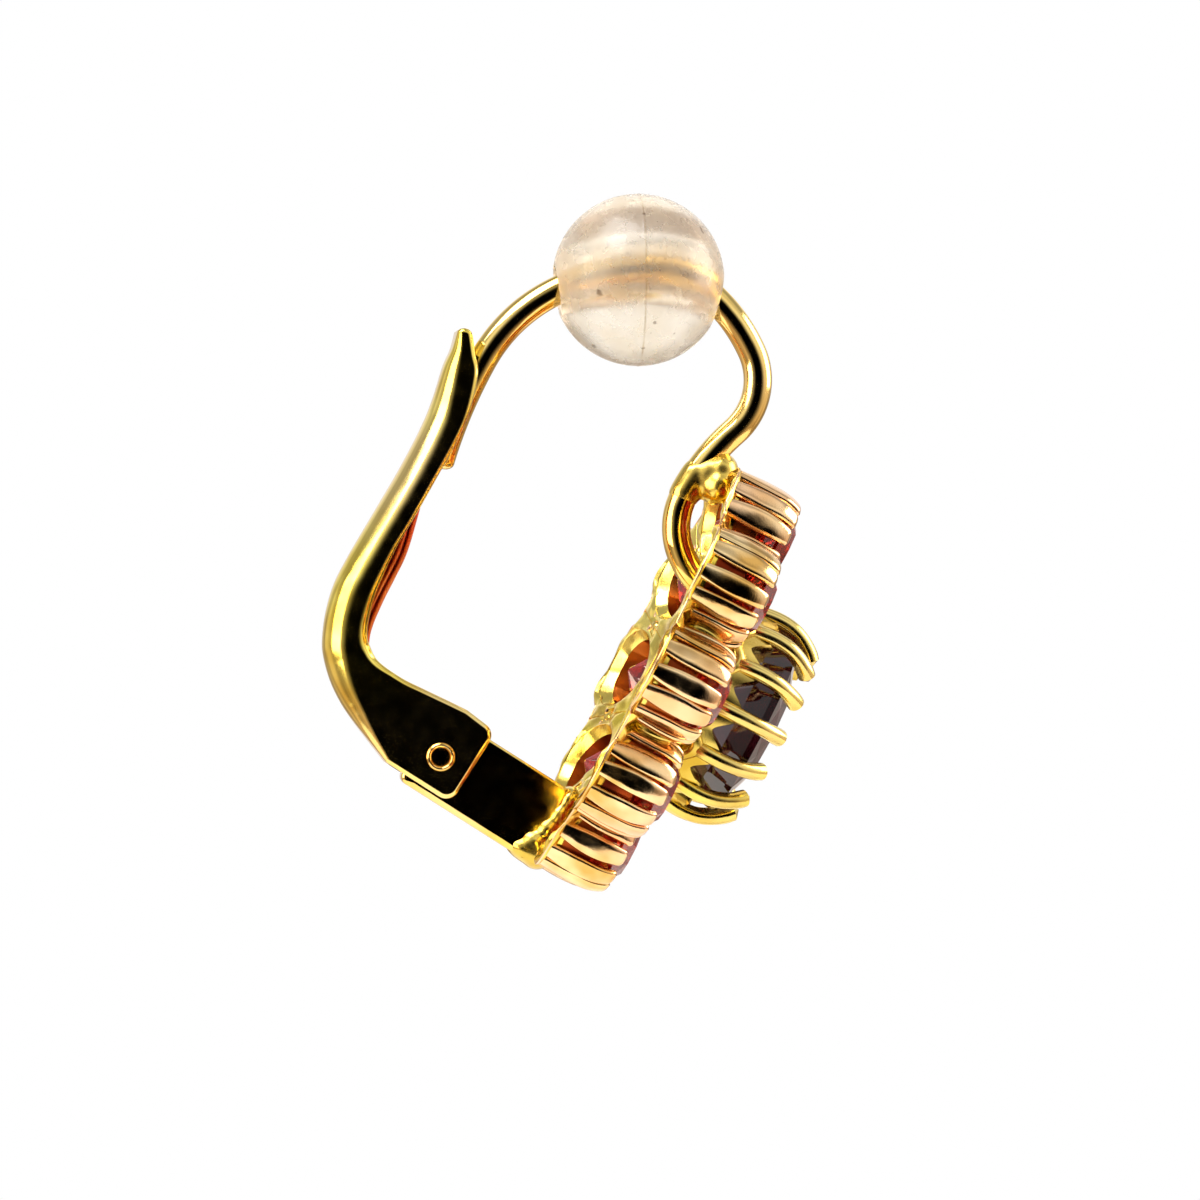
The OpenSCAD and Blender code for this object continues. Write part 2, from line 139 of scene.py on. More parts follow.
def revolved(profile, steps, closed):
    """A profile of (radius, height) points turned round the Z axis. Closed joins its last point to its first."""
    verts = polar(profile[:, :1], around(steps), profile[:, 1:]).reshape(-1, 3)
    if closed:
        return outward(verts, [grid_faces(len(profile), steps, close_rows=True)])
    return capped(verts, len(profile), steps)


def smooth_line(points, per_span):
    """Catmull-Rom points through the given ones, per_span to each span."""
    p = np.asarray(points, float)
    p = np.vstack([2 * p[0] - p[1], p, 2 * p[-1] - p[-2]])
    t = np.linspace(0, 1, per_span, endpoint=False)[:, None]
    out = []
    for i in range(1, len(p) - 2):
        a, b, c, d = p[i - 1], p[i], p[i + 1], p[i + 2]
        square, cube = 2 * a - 5 * b + 4 * c - d, 3 * b - a - 3 * c + d
        out.append(0.5 * (2 * b + (c - a) * t + square * t ** 2 + cube * t ** 3))
    return np.vstack(out + [p[-2][None]])


def unit(a):
    """The same directions at a length of one."""
    return a / np.maximum(np.linalg.norm(a, axis=-1, keepdims=True), 1e-12)


def in_plane(line):
    """A line (x, z) as points at y = 0, with two unit axes at each: square to it in the plane, and along Y."""
    t = unit(np.gradient(line, axis=0))
    zero = np.zeros(len(line))
    points = np.stack([line[:, 0], zero, line[:, 1]], 1)
    return points, np.stack([t[:, 1], zero, -t[:, 0]], 1), np.stack([zero, zero + 1, zero], 1)


def lengths_along(line):
    """The distance along the line to each of its points."""
    return np.concatenate([[0], np.cumsum(np.linalg.norm(np.diff(line, axis=0), axis=1))])


def rounded_ends(lengths, radius, first, last):
    """Scale along a tube that draws its ends in as half balls: 1 in between, and nearly 0 at a rounded end."""
    total = lengths[-1]
    scale = np.ones_like(lengths)
    for wanted, d in ((first, lengths), (last, total - lengths)):
        if wanted:
            near = np.clip(1 - d / radius, 0, 1)
            scale = np.minimum(scale, np.sqrt(np.maximum(1 - near ** 2, 0.0025)))
    return scale


def plane_tube(line, radius, sides, blunt=0.5):
    """A round tube along a line (x, z). Its ends are rounded over the share blunt of its radius."""
    length = lengths_along(line)
    cap, total = radius * blunt, length[-1]
    fine = np.concatenate([
        np.linspace(0, cap, 6), np.linspace(cap, total - cap, len(line)), np.linspace(total - cap, total, 6)])
    fine = np.unique(np.round(fine, 6))
    line = np.stack([np.interp(fine, length, line[:, 0]), np.interp(fine, length, line[:, 1])], 1)
    points, u, v = in_plane(line)
    scale = rounded_ends(fine, cap, True, True)[:, None] * radius
    return swept(points, u * scale, v * scale, ring_section(sides))


def lump(centre, axes):
    """An ellipsoid: the centre plus a unit ball's points times the three half axes."""
    rows, cols = 14, 20
    up = np.linspace(-0.5, 0.5, rows + 2)[1:-1, None] * math.pi
    ball = polar(np.cos(up), around(cols), np.sin(up)).reshape(-1, 3)
    return capped(np.asarray(centre, float) + ball @ np.asarray(axes, float), rows, cols)


def bevelled(outline, half, reach, drop=None):
    """A plate about y = 0 with the closed outline (x, z) and flat sides. Its edge is rounded at each point:
    over the reach into the outline, and over the drop, or else the reach, down the plate's thickness."""
    x, z = outline.T
    t = unit(np.roll(outline, -1, 0) - np.roll(outline, 1, 0))
    area = 0.5 * np.sum(x * np.roll(z, -1) - np.roll(x, -1) * z)
    inner = np.stack([-t[:, 1], t[:, 0]], 1) * math.copysign(1, area)
    drop = reach if drop is None else drop
    rows = []
    quarter = np.linspace(0, math.pi / 2, 15)
    for side, angles in ((1, quarter), (-1, quarter[::-1])):
        for a in angles:
            p = outline + inner * (reach * (1 - math.sin(a)))[:, None]
            rows.append(np.stack([p[:, 0], side * (half - drop * (1 - math.cos(a))), p[:, 1]], 1))
    return capped(np.vstack(rows), len(rows), len(outline))


def moved(part, spin=0.0, offset=(0.0, 0.0, 0.0)):
    """A part shifted by the offset and then turned by spin radians about the Z axis."""
    verts = part[0] + np.asarray(offset, float)
    c, s = math.cos(spin), math.sin(spin)
    return verts @ np.array([[c, s, 0], [-s, c, 0], [0, 0, 1]]), part[1]


def from_cluster(part):
    """A part from the cluster's frame (x down its back, z out of its front) to the earring's frame."""
    v = part[0]
    down = np.array([-math.sin(TILT), -math.cos(TILT)])
    out = np.array([math.cos(TILT), -math.sin(TILT)])
    xz = CLUSTER + v[:, :1] * down + v[:, 2:] * out
    return np.stack([xz[:, 0], v[:, 1], xz[:, 1]], 1), part[1]


def arm(a, b):
    """The point a along the tongue from the pivot and b across it, upwards."""
    return PIVOT + a * ALONG + b * ACROSS


# Materials

def hex_linear(code):
    """A colour code's three sRGB parts as linear values, with alpha 1."""
    parts = [int(code[i:i + 2], 16) / 255 for i in (1, 3, 5)]
    return [p / 12.92 if p <= 0.04045 else ((p + 0.055) / 1.055) ** 2.4 for p in parts] + [1.0]


def add_node(tree, kind, settings=None, inputs=None):
    """A node of that kind with its attributes set, and each input linked from a socket or given its value."""
    node = tree.nodes.new(kind)
    for key, value in (settings or {}).items():
        setattr(node, key, value)
    for key, value in (inputs or {}).items():
        if isinstance(value, bpy.types.NodeSocket):
            tree.links.new(value, node.inputs[key])
        else:
            node.inputs[key].default_value = value
    return node


def new_material(name):
    """An empty node material and its tree, with the object's own coordinates in millimetres."""
    material = bpy.data.materials.new(name)
    material.use_nodes = True
    tree = material.node_tree
    tree.nodes.clear()
    place = add_node(tree, "ShaderNodeTexCoord").outputs["Object"]
    mm = add_node(tree, "ShaderNodeVectorMath", {"operation": "SCALE"}, {0: place, "Scale": 1 / MM})
    return material, tree, mm.outputs[0]


def noise(tree, place, per_mm, detail=2.0, rough=0.5):
    """Noise with about per_mm features to the millimetre."""
    return add_node(tree, "ShaderNodeTexNoise", None,
                    {"Vector": place, "Scale": per_mm, "Detail": detail, "Roughness": rough}).outputs["Fac"]


def spread(tree, value, low, high, from_low=0.35, from_high=0.65):
    """The value's range from_low to from_high, laid out from low to high."""
    inputs = {"Value": value, "From Min": from_low, "From Max": from_high, "To Min": low, "To Max": high}
    return add_node(tree, "ShaderNodeMapRange", None, inputs).outputs[0]


def eased(tree, value, low, high, from_low, from_high):
    """Like spread, with soft ends."""
    inputs = {"Value": value, "From Min": from_low, "From Max": from_high, "To Min": low, "To Max": high}
    return add_node(tree, "ShaderNodeMapRange", {"interpolation_type": "SMOOTHSTEP"}, inputs).outputs[0]


def mixed(tree, share, a, b):
    """The colour a where the share is 0, and b where it is 1."""
    return add_node(tree, "ShaderNodeMix", {"data_type": "RGBA"}, {0: share, 6: a, 7: b}).outputs[2]


def bumped(tree, height, strength, metres, under=None):
    """A normal that follows the height, which stands up by that many metres, over the normal under it."""
    inputs = {"Height": height, "Strength": strength, "Distance": metres}
    if under is not None:
        inputs["Normal"] = under
    return add_node(tree, "ShaderNodeBump", None, inputs).outputs[0]


def calculated(tree, operation, a, b=0.0):
    """The result of a math operation on sockets or numbers."""
    return add_node(tree, "ShaderNodeMath", {"operation": operation}, {0: a, 1: b}).outputs[0]


def finish_material(tree, inputs):
    """The material's shader with those inputs, joined to its output."""
    shader = add_node(tree, "ShaderNodeBsdfPrincipled", None, inputs)
    add_node(tree, "ShaderNodeOutputMaterial", None, {"Surface": shader.outputs[0]})


def gold_material(name, light, dark, warm, smooth, dull, wear):
    """Polished gold: its tint drifts between two alloys and a warmer cast, and wipe marks break its polish."""
    material, tree, mm = new_material(name)
    alloy = spread(tree, noise(tree, mm, 0.8), 0.0, 1.0)
    cast = spread(tree, noise(tree, mm, 0.22, 1.0), 0.0, 0.85)
    tint = mixed(tree, cast, mixed(tree, alloy, hex_linear(light), hex_linear(dark)), hex_linear(warm))
    stretch = {0: mm, 1: (9.0, 2.0, 2.5)}
    wiped = add_node(tree, "ShaderNodeVectorMath", {"operation": "MULTIPLY"}, stretch).outputs[0]
    marks = bumped(tree, noise(tree, wiped, 2.2, 4.0, 0.65), wear, 0.00001)
    waves = bumped(tree, noise(tree, mm, 0.9, 1.0), wear, 0.0002, marks)
    polish = spread(tree, noise(tree, mm, 1.7, 3.0), smooth, dull)
    finish_material(tree, {"Base Color": tint, "Metallic": 1.0, "Roughness": polish, "Normal": waves})
    return material


def garnet_material(name, light, dark, clear):
    """A cut garnet: red that lets the share clear of the light through, with darker zones and a hard polish."""
    material, tree, mm = new_material(name)
    zones = spread(tree, noise(tree, mm, 0.8, 2.0), 0.0, 1.0)
    body = mixed(tree, zones, hex_linear(light), hex_linear(dark))
    polish = spread(tree, noise(tree, mm, 3.0, 2.0), 0.01, 0.05)
    finish_material(tree, {"Base Color": body, "Roughness": polish, "IOR": 1.76, "Transmission Weight": clear})
    return material


def plastic_material(name, light, dark, clear):
    """Soft clear plastic with a cream cast that blurs what is behind it, a brown mould seam and dark flecks."""
    material, tree, mm = new_material(name)
    cloud = spread(tree, noise(tree, mm, 0.7, 3.0), 0.0, 1.0)
    body = mixed(tree, cloud, hex_linear(light), hex_linear(dark))
    along = add_node(tree, "ShaderNodeSeparateXYZ", None, {0: mm}).outputs["X"]
    off_seam = calculated(tree, "ABSOLUTE", calculated(tree, "SUBTRACT", along, BEAD_AT[0]))
    seam = spread(tree, off_seam, 1.0, 0.0, 0.01, 0.05)
    worn = calculated(tree, "MULTIPLY", seam, spread(tree, noise(tree, mm, 1.3, 3.0), 0.1, 0.9))
    body = mixed(tree, worn, body, hex_linear("#B8A078"))
    flecks = spread(tree, noise(tree, mm, 1.9, 2.0), 0.0, 0.85, 0.705, 0.735)
    body = mixed(tree, flecks, body, hex_linear("#6E5640"))
    finish_material(tree, {
        "Base Color": body, "Roughness": spread(tree, noise(tree, mm, 1.5, 3.0), 0.2, 0.34), "IOR": 1.42,
        "Transmission Weight": clear, "Normal": bumped(tree, noise(tree, mm, 3.0, 3.0), 0.06, 0.0001)})
    return material


# Yellow gold of the wire, the tongue and the rivet, with a mirror polish
GOLD = gold_material("polished_yellow_gold", "#F0D272", "#D9B440", "#EECB86", 0.07, 0.13, 0.12)
# The lever's gold, greener and a little more rubbed
LEVER_GOLD = gold_material("rubbed_green_gold", "#F2DC6E", "#DDBD48", "#EDD08A", 0.10, 0.15, 0.05)
# The collets' gold, also for their rim lines: pale gold of its own, with a pinker peach cast that is painted
# reflection of warm light
COLLET_GOLD_WITH_PAINTED_PEACH_SHEEN = gold_material("collet_gold_painted_peach_sheen", "#F6D8A0", "#D8A85A", "#F2BE98", 0.08, 0.2, 0.45)
# Gold of the claws, greener and worn soft
CLAW_GOLD = gold_material("worn_claw_gold", "#E6CC60", "#BF9F34", "#EED488", 0.12, 0.24, 0.20)
# Solder of the joints, also for the gallery and the cup, duller than the wire beside it
SOLDER = gold_material("gold_solder", "#E2C75E", "#BE9C36", "#DCBE6C", 0.16, 0.28, 0.06)
# Gold of the cluster's hollow back, left as it was cast, with soft ripples
BACK_GOLD = gold_material("cast_gold_back", "#FADC54", "#BE8A2A", "#F6E078", 0.12, 0.24, 0.60)
# Gold inside the collets' bores, painted dark red and brown all over: painted shade of the deep bores and
# painted red reflection of the stones, not the gold's own colour
BORE_GOLD_PAINTED_RED_SHADE = gold_material("bore_gold_painted_red_shade", "#8E3414", "#4A120A", "#B46024", 0.24, 0.42, 0.40)
# Reddish spring gold of the leaves in the channel, rubbed matt
SPRING_GOLD = gold_material("orange_spring_gold", "#FF9C58", "#F07A36", "#F0583A", 0.38, 0.52, 0.12)
# Nearly black garnet of the large stone
GARNET_DARK = garnet_material("deep_garnet", "#451722", "#230910", 0.08)
# Red garnet of the ring of small stones
GARNET_RED = garnet_material("red_garnet", "#D8361C", "#98160E", 0.78)
# Clear plastic of the bead
PLASTIC = plastic_material("clear_cream_plastic", "#FAF3E8", "#F3E6D0", 0.88)


# Pieces

def make_piece(name, parts, material, body, slot, *nodes, flat=False):
    """One mesh object from (points, face arrays) parts, in metres, riding its body. Its faces are flat, or else
    smooth up to the crease angle."""
    verts = np.vstack([p[0] for p in parts]) * MM
    sizes, loops, base = [], [], 0
    for points, faces in parts:
        for f in faces:
            sizes.append(np.full(len(f), f.shape[1]))
            loops.append((f + base).ravel())
        base += len(points)
    sizes, loops = np.concatenate(sizes), np.concatenate(loops)
    mesh = bpy.data.meshes.new(name)
    mesh.vertices.add(len(verts))
    mesh.vertices.foreach_set("co", verts.astype(np.float32).ravel())
    mesh.loops.add(len(loops))
    mesh.loops.foreach_set("vertex_index", loops.astype(np.int32))
    mesh.polygons.add(len(sizes))
    starts = np.concatenate([[0], np.cumsum(sizes)[:-1]])
    mesh.polygons.foreach_set("loop_start", starts.astype(np.int32))
    mesh.polygons.foreach_set("use_smooth", np.full(len(sizes), not flat))
    mesh.update(calc_edges=True)
    mesh.validate()
    if not flat:
        mesh.set_sharp_from_angle(angle=CREASE)
    mesh.materials.append(material)
    obj = bpy.data.objects.new(name, mesh)
    bpy.context.scene.collection.objects.link(obj)
    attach(obj, body)
    if nodes:
        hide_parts(*nodes)
    return obj


def cut_with(obj, parts):
    """Takes the closed shapes away from the object's mesh."""
    for part in parts:
        material = obj.data.materials[0]
        cutter = make_piece(obj.name + "_cutter", [part], material, "root", "gold", flat=True)
        mod = obj.modifiers.new("cut", "BOOLEAN")
        mod.operation, mod.solver, mod.object = "DIFFERENCE", "EXACT", cutter
        deps = bpy.context.evaluated_depsgraph_get()
        deps.update()
        old = obj.data
        obj.data = bpy.data.meshes.new_from_object(obj.evaluated_get(deps))
        obj.modifiers.clear()
        bpy.data.objects.remove(cutter)
        bpy.data.meshes.remove(old)
    obj.data.polygons.foreach_set("use_smooth", np.full(len(obj.data.polygons), True))
    obj.data.set_sharp_from_angle(angle=CREASE)


def melt(obj, grain, rounds):
    """Runs the object's overlapping shapes together with soft fillets, on a grid of that many millimetres."""
    remesh = obj.modifiers.new("melt", "REMESH")
    remesh.mode, remesh.voxel_size = "VOXEL", grain * MM
    soften = obj.modifiers.new("soften", "SMOOTH")
    soften.factor, soften.iterations = 0.7, rounds
    deps = bpy.context.evaluated_depsgraph_get()
    deps.update()
    mesh = bpy.data.meshes.new_from_object(obj.evaluated_get(deps))
    obj.modifiers.clear()
    obj.data = mesh
    mesh.polygons.foreach_set("use_smooth", np.full(len(mesh.polygons), True))
    mesh.update()


# Wire bends from the crest: radius, and turn in degrees, positive anticlockwise as seen from -Y
REAR_BENDS = [(7.7, 19.4), (5.8, 41.5), (18.0, 13.1)]
FRONT_BENDS = [(3.55, -46.0), (6.0, -19.3), (2.4, -73.6), (7.9, 20.0), (2.55, 80.0)]


def bent_line(heading, bends, step=0.1):
    """Points about step apart along a row of circular bends from the origin, each with its heading."""
    x, z, h = 0.0, 0.0, math.radians(heading)
    out = [(x, z, h)]
    for radius, turn in bends:
        turn = math.radians(turn)
        side = math.copysign(1, turn)
        cx, cz = x - side * radius * math.sin(h), z + side * radius * math.cos(h)
        count = max(2, int(radius * abs(turn) / step))
        for k in range(1, count + 1):
            a = h + turn * k / count
            out.append((cx + side * radius * math.sin(a), cz - side * radius * math.cos(a), a))
        x, z, h = out[-1]
    return np.array(out)


REAR = bent_line(180, REAR_BENDS)
FRONT = bent_line(0, FRONT_BENDS)


def ear_wire():
    """The round wire, from its rear end over the crest to its foot."""
    line = np.vstack([REAR[::-1, :2], FRONT[1:, :2]])
    return plane_tube(line, WIRE_D / 2, 36, blunt=0.6)


def dish(rho):
    """Height of the cluster's hollow back at the distance rho from its axis."""
    return np.maximum(0.0, DISH_DEPTH * (1 - rho / DISH_R))


def bore_ring(foot_r, top_r, foot, top, level):
    """A ring of a collet's bore wall, from foot_r to top_r. Its foot is at that height above the hollow back,
    and so is its top, unless it is level at a height of its own."""
    wall, e = 0.3, 0.03
    outer = foot_r + wall
    radii = [foot_r, foot_r + e, outer - e, outer, outer, outer - e, top_r + e, top_r]
    radii = np.minimum(radii, BORE_R + 0.14)
    corner = np.array([e, 0, 0, e])
    a = around(96)[:, None]
    x, y = RING_R + radii * np.cos(a), radii * np.sin(a)
    back = dish(np.hypot(x, y))
    above = 0 * back[:, 4:] if level else back[:, 4:]
    z = np.hstack([back[:, :4] + corner + foot, above + top - corner])
    return outward(np.stack([x, y, z], 2).reshape(-1, 3), [grid_faces(len(a), len(radii), close_rows=True)])


def prong(k, collet):
    """One rib of a collet: a flat-faced bar that stands on the back, widens at half height and leans in over
    the stone. Hand filing makes each a little different, by sines of the rib's and the collet's numbers."""
    a = 2 * math.pi * k / PRONGS + 0.035 * math.sin(3.7 * k + 1.9 * collet)
    out = np.array([math.cos(a), math.sin(a), 0])
    side = np.array([-math.sin(a), math.cos(a), 0])
    foot = float(dish(math.hypot(RING_R + 1.7 * out[0], 1.7 * out[1]))) + 0.07
    s = np.concatenate([np.linspace(0, 0.06, 4), np.linspace(0.1, 0.88, 14), np.linspace(0.9, 1, 8)])
    z = foot + (COLLET_H - foot) * s
    swell = np.sin(math.pi * s)
    bulge = 0.07 * swell * (1 + 0.4 * math.sin(2.3 * k + collet))
    lean = 0.2 * np.clip((z - 1.75) / 0.85, 0, 1) ** 2
    deep = 0.18
    middle = COLLET_R - 0.06 + bulge - lean - deep
    ends = np.minimum(rounded_ends(z - foot, 0.05, True, False), rounded_ends(z - foot, 0.16, False, True))
    bow = 0.04 * math.sin(5.3 * k + 2.7 * collet) * swell
    line = np.stack([RING_R + middle * out[0], middle * out[1], z], 1) + side * bow[:, None]
    wide = (0.28 + (0.12 + 0.02 * math.sin(4.1 * k + 1.3 * collet)) * swell) * (0.4 + 0.6 * ends)
    return swept(line, side * wide[:, None], out * (deep * ends)[:, None], ring_section(28, 2.9))


def rim_line():
    """The thin bright edge of a collet's back: an arc along the plate's edge from neighbour to neighbour."""
    half = math.pi / COLLETS
    end = math.atan2(BACK_R * math.sin(half), BACK_R * math.cos(half) - RING_R)
    a = np.linspace(-end, end, 90)
    line = polar(cell_reach(a) - 0.02, a, 0.0) + [RING_R, 0, 0]
    line[:, 2] = dish(np.hypot(line[:, 0], line[:, 1])) + 0.03
    return swept(line, polar(0.04, a, 0.0), polar(0.0, a, 0.042), ring_section(12))


def round_the_ring(parts_of):
    """Each collet's own list of parts, in place round the cluster's axis and in the earring's frame."""
    turn = 2 * math.pi / COLLETS
    return [from_cluster(moved(p, turn * (k + 0.5))) for k, parts in enumerate(parts_of) for p in parts]


def claw():
    """A claw from the gallery to its tip: at the share s of its height it bows out by a sine of s, and it
    curls in over the stone by the fifth power of s."""
    s = np.linspace(0, 1, 26)
    r = CLAW_FOOT_R + 0.42 * np.sin(np.radians(150 * s)) - 0.75 * s ** 5
    z = CLAW_FOOT_Z + (CLAW_TIP_Z + 0.03 - CLAW_FOOT_Z) * s
    points, u, v = in_plane(np.stack([r, z], 1))
    thick = CLAW_R * (1 + 0.1 * np.exp(-((s - 0.93) / 0.08) ** 2))
    scale = (rounded_ends(lengths_along(points), 0.26, True, True) * thick)[:, None]
    return swept(points, u * scale, v * scale, ring_section(18))


def cup():
    """The thin wall in which the centre stone sits: its top dips in a round scallop between the claws."""
    a = around(CLAWS * 18)[:, None]
    crest = np.abs(np.cos(CLAWS / 2 * a - math.pi / 2)) ** 1.6
    foot, dip = 2.2, 3.22
    radii = np.array([3.2, 3.55, 3.72, 3.76, 3.72, 3.6, 3.3, 3.22])
    share = np.array([0.0, 0.0, 0.08, 0.5, 0.96, 1.0, 1.0, 0.94])
    verts = polar(radii + 0.05 * (crest - 0.5) * share, a, foot + (dip + 0.75 * crest - foot) * share)
    return outward(verts.reshape(-1, 3), [grid_faces(len(a), len(radii), close_rows=True)])


def claw_web():
    """A lumpy cord round the claws' feet: high at each claw and dipping between them."""
    a = around(CLAWS * 16)
    wave = np.cos(CLAWS * a - math.pi)
    size = 0.26 + 0.03 * np.sin(5 * a) + 0.02 * np.sin(11 * a + 1)
    centre = polar(3.66 + 0.03 * wave, a, 2.72 + 0.22 * wave)
    loop = ring_section(14)
    verts = loops_along(centre, polar(size, a, 0.0), polar(0.0, a, 1.2 * size), loop)
    return outward(verts, [grid_faces(len(a), len(loop), close_rows=True)])


def gallery():
    """The plain ring under the cup, turned from its section."""
    g = GALLERY_R
    return revolved(np.array([
        [g - 0.47, 0.95], [g - 0.43, 0.91], [g - 0.07, 0.91], [g - 0.01, 0.96], [g, 1.1], [g - 0.02, 2.1],
        [3.9, 2.45], [3.7, 2.6], [3.3, 2.6], [3.2, 2.5], [3.25, 2.38], [3.55, 2.0]]), 112, True)


def cell_reach(a):
    """How far a collet's share of the back reaches from the collet's axis at the angle a:
    to the neighbour's share, the gallery, or the outer edge, which scallops in a little between the collets."""
    c, s = np.cos(a), np.sin(a)
    half = math.pi / COLLETS
    far = np.full(len(a), 50.0)
    for sign in (1, -1):
        slope = c * math.sin(half) - sign * s * math.cos(half)
        hit = -RING_R * math.sin(half) / np.where(np.abs(slope) < 1e-6, 1e-6, slope)
        far = np.where((slope < -1e-6) & (hit > 0), np.minimum(far, hit + 1e-4), far)
    for radius, outer in ((3.85, False), (BACK_R, True)):
        b, q = RING_R * c, RING_R ** 2 - radius ** 2
        root = np.sqrt(np.maximum(b * b - q, 0))
        hit = np.where(b * b >= q, -b + root if outer else -b - root, 50.0)
        if outer:
            hit = np.maximum(hit, COLLET_R - 0.05)
        far = np.where(hit > 0, np.minimum(far, hit), far)
    return far


def back_cell():
    """A tenth of the plate that joins the collets at their hollow back, with its collet's bore through it.
    Its surface is uneven: waves of the distance rho and ten times the angle phi, so that neighbours meet."""
    a = around(180)
    far = cell_reach(a)
    share = np.array([0, 0, 0.03, 0.15, 0.28, 0.42, 0.56, 0.7, 0.84, 0.96, 1, 1, 0.97, 0.5, 0.03])
    lift = np.array([0.3, 0.05, 0, 0, 0, 0, 0, 0, 0, 0, 0.03, 0.06, 0.09, 0.24, 0.34])
    uneven = np.array([0, 0, 0.1, 0.5, 1, 1, 1, 1, 0.6, 0.1, 0, 0, 0, 0, 0])
    r = BORE_R + (far[:, None] - BORE_R) * share
    x, y = RING_R + r * np.cos(a)[:, None], r * np.sin(a)[:, None]
    rho, phi = np.hypot(x, y), np.arctan2(y, x)
    waves = 0.09 * np.sin(3.9 * rho + 0.6) * np.cos(10 * phi) + 0.06 * np.sin(6.1 * rho) * np.sin(10 * phi)
    z = dish(rho) + lift + uneven * (waves + 0.05 * np.cos(20 * phi) - 0.02)
    verts = np.stack([x, y, z], 2).reshape(-1, 3)
    return outward(verts, [grid_faces(len(a), len(share), close_rows=True)])


def brilliant(d, crown, pavilion, belly, spin=0.0):
    """A round brilliant about its girdle: table, stars, kites, girdle facets above and below, mains and culet.
    Its pavilion keeps the share belly of the girdle's width at four tenths of its depth."""
    eighth = around(8) + spin
    between = eighth + math.pi / 8
    sixteenth = around(16) + spin
    g = 0.02 * d
    verts = np.vstack([
        polar(0.285 * d, eighth, crown), polar(0.375 * d, between, 0.58 * crown + 0.1 * g),
        polar(0.5 * d, sixteenth, g), polar(0.5 * d, sixteenth, -g),
        polar(0.5 * belly * d, sixteenth, -0.4 * pavilion),
        polar(0.22 * d, between, -0.78 * pavilion), polar(0.02 * d, eighth, -pavilion)])
    table, star, upper, lower, waist, main, culet = 0, 8, 16, 32, 48, 64, 72
    i = np.arange(8)
    j = (i + 1) % 8
    n = np.arange(16)
    m = (n + 1) % 16
    a, b, e = 2 * i, 2 * i + 1, (2 * i + 2) % 16
    triangles = [
        (table + i, star + i, table + j), (star + i, upper + a, upper + b), (star + i, upper + b, upper + e),
        (main + i, waist + b, waist + a), (main + i, waist + e, waist + b), (main + i, culet + i, culet + j)]
    quads = [
        (table + j, star + i, upper + e, star + j), (upper + n, lower + n, lower + m, upper + m),
        (lower + n, waist + n, waist + m, lower + m), (culet + j, main + j, waist + e, main + i)]
    faces = [np.stack(f, 1) for f in triangles + quads]
    return verts, faces + [i[None], (culet + i)[None, ::-1]]


def solder_parts():
    """Webs of solder between neighbouring collets."""
    middle = RING_R * math.cos(math.pi / COLLETS)
    webs = [lump((middle + 0.1, 0, 1.2), np.diag([0.5, 0.3, 0.75])),
            lump((middle - 0.5, 0, 1.3), np.diag([0.4, 0.34, 0.6]))]
    return [from_cluster(moved(web, 2 * math.pi / COLLETS * k)) for k in range(COLLETS) for web in webs]


def wire_joint_parts():
    """Solder that floods the ear wire where it touches the backs of the two top collets."""
    soldered = FRONT[92:112, :2]
    parts = [plane_tube(soldered, 0.56, 24, blunt=1.0)]
    for x, z, axes in (
            (-7.1, -0.6, (0.85, 0.7, 0.75)), (-6.95, -0.2, (0.75, 0.95, 0.6)), (-7.5, -0.35, (0.6, 0.8, 0.62))):
        parts.append(from_cluster(lump((x, 0, z), np.diag(axes))))
    return parts


def tongue_joint_parts():
    """Solder that floods the tongue's end, deeper towards its lower edge, and runs on to the cluster."""
    return [arm_lump(*row) for row in (
        (4.62, 1.15, 0.42, 0.5, 0.7), (4.6, 0.5, 0.42, 0.6, 0.74), (4.55, -0.15, 0.55, 0.6, 0.78),
        (4.42, -0.75, 0.72, 0.55, 0.82), (4.3, -1.15, 0.85, 0.42, 0.8), (4.7, -1.0, 0.6, 0.6, 0.84))]


def arm_lump(along, across, half_along, half_across, half_thick):
    """An ellipsoid there in the tongue's frame, with its half axes along, across and through the tongue."""
    x, z = arm(along, across)
    t, n = half_along * ALONG, half_across * ACROSS
    return lump((x, 0, z), [[t[0], 0, t[1]], [n[0], 0, n[1]], [0, half_thick, 0]])


# The lever's side outline (x, z) from its tip to its cheeks: along the back, and along the open side
BACK = np.array([
    [-6.645, -2.098], [-6.83, -2.714], [-7.098, -3.306], [-7.49, -4.52], [-7.917, -5.532], [-8.63, -6.889],
    [-9.374, -8.161], [-10.021, -9.252], [-10.48, -10.051], [-10.90, -10.885], [-11.184, -11.857],
    [-11.306, -12.828], [-11.254, -13.453], [-11.028, -14.252], [-10.681, -14.981], [-10.264, -15.607],
    [-9.777, -16.232], [-9.117, -17.067]])
INSIDE = np.array([
    [-6.12, -2.31], [-6.04, -2.892], [-5.942, -3.618], [-6.237, -4.934], [-6.67, -5.938], [-7.415, -7.289],
    [-8.13, -8.55], [-8.731, -9.573], [-9.19, -10.55], [-9.51, -11.36], [-9.714, -12.131], [-9.77, -12.684],
    [-9.683, -13.03], [-9.38, -13.57], [-8.593, -14.137], [-7.831, -14.518], [-7.034, -14.9], [-6.32, -15.25]])
# The rounding of the lever's edges: shares of the way along, and the millimetres at each
BACK_REACH = [0, 0.03, 0.1, 0.2, 0.3, 0.72, 0.88, 1], [0.2, 0.28, 0.56, 0.9, 0.98, 0.96, 0.6, 0.18]
BACK_DROP = [0, 0.05, 0.2, 0.85, 1], [0.25, 0.5, 1.0, 1.0, 0.2]
INSIDE_REACH = [0, 0.2, 0.3, 0.41, 0.53, 0.62, 1], [0.18, 0.2, 0.42, 0.44, 0.28, 0.18, 0.2]


